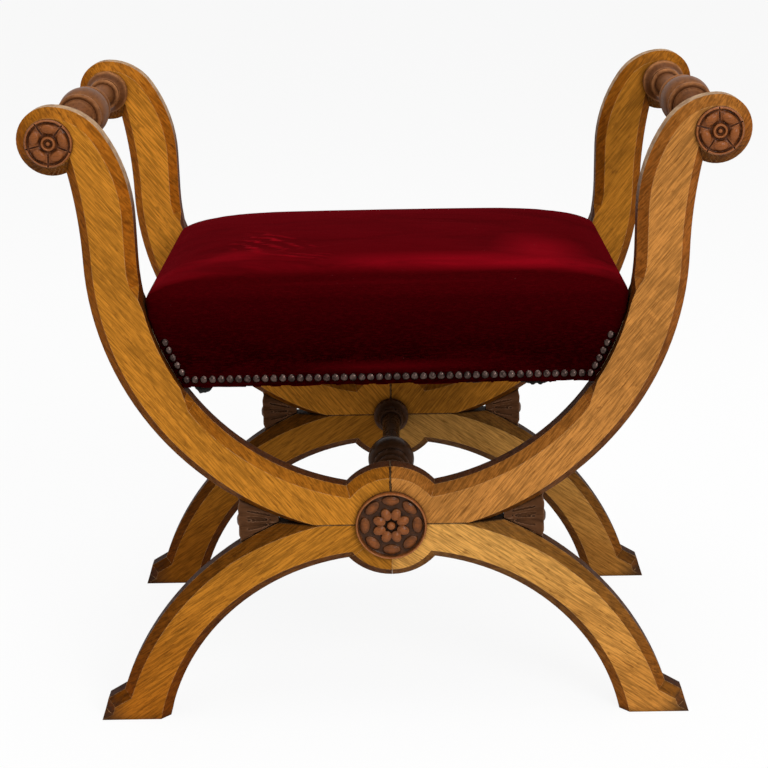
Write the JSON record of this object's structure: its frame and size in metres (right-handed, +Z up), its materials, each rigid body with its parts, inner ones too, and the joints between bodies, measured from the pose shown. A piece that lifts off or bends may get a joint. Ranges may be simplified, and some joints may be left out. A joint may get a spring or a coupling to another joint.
{
  "type": "curule bench",
  "caption": "Oak X-frame curule bench with scrolled arms, carved rosettes and leaf brackets, turned rails and a close-nailed crimson velvet seat.",
  "frame": {"origin": "on the floor, under the middle of the bench", "axes": "+X towards the right end as seen from the front, +Y towards the back, +Z up"},
  "size_m": [0.7, 0.3886, 0.6515],
  "materials": {
    "frame_oak": "satin",
    "rosette_walnut": "polished",
    "rail_walnut": "polished",
    "dark_stained_wood": "polished",
    "seat_beech": "matt",
    "dowel_beech": "matt",
    "velvet": "matt",
    "stuffing": "matt",
    "jute": "matt",
    "black_cloth": "matt",
    "nail_brass": "satin",
    "iron": "matt"
  },
  "bodies": {
    "root": {"front_left_arm": "frame_oak", "front_right_arm": "frame_oak", "back_left_arm": "frame_oak", "back_right_arm": "frame_oak", "front_left_leg": "frame_oak", "front_right_leg": "frame_oak", "back_left_leg": "frame_oak", "back_right_leg": "frame_oak", "front_boss_patch": "frame_oak", "front_boss_rosette": "rosette_walnut", "back_boss_rosette": "rosette_walnut", "front_left_scroll_rosette": "rosette_walnut", "front_right_scroll_rosette": "rosette_walnut", "back_left_scroll_rosette": "rosette_walnut", "back_right_scroll_rosette": "rosette_walnut", "left_arm_rail": "rail_walnut", "right_arm_rail": "rail_walnut", "centre_stretcher": "dark_stained_wood", "front_left_leaf": "dark_stained_wood", "front_right_leaf": "dark_stained_wood", "back_left_leaf": "dark_stained_wood", "back_right_leaf": "dark_stained_wood", "front_seat_rail": "seat_beech", "back_seat_rail": "seat_beech", "left_seat_rail": "seat_beech", "right_seat_rail": "seat_beech", "corner_blocks": "seat_beech", "front_frame_dowels": "dowel_beech", "back_frame_dowels": "dowel_beech", "seat_rail_dowels": "dowel_beech", "side_rail_dowels": "dowel_beech", "velvet_cover": "velvet", "stuffing": "stuffing", "webbing_long": "jute", "webbing_cross": "jute", "hessian": "jute", "bottom_cloth": "black_cloth", "front_cover_nails": "nail_brass", "back_cover_nails": "nail_brass", "left_cover_nails": "nail_brass", "right_cover_nails": "nail_brass", "corner_block_screws": "iron", "webbing_tacks": "iron", "bottom_cloth_tacks": "iron"}
  },
  "joints": []
}
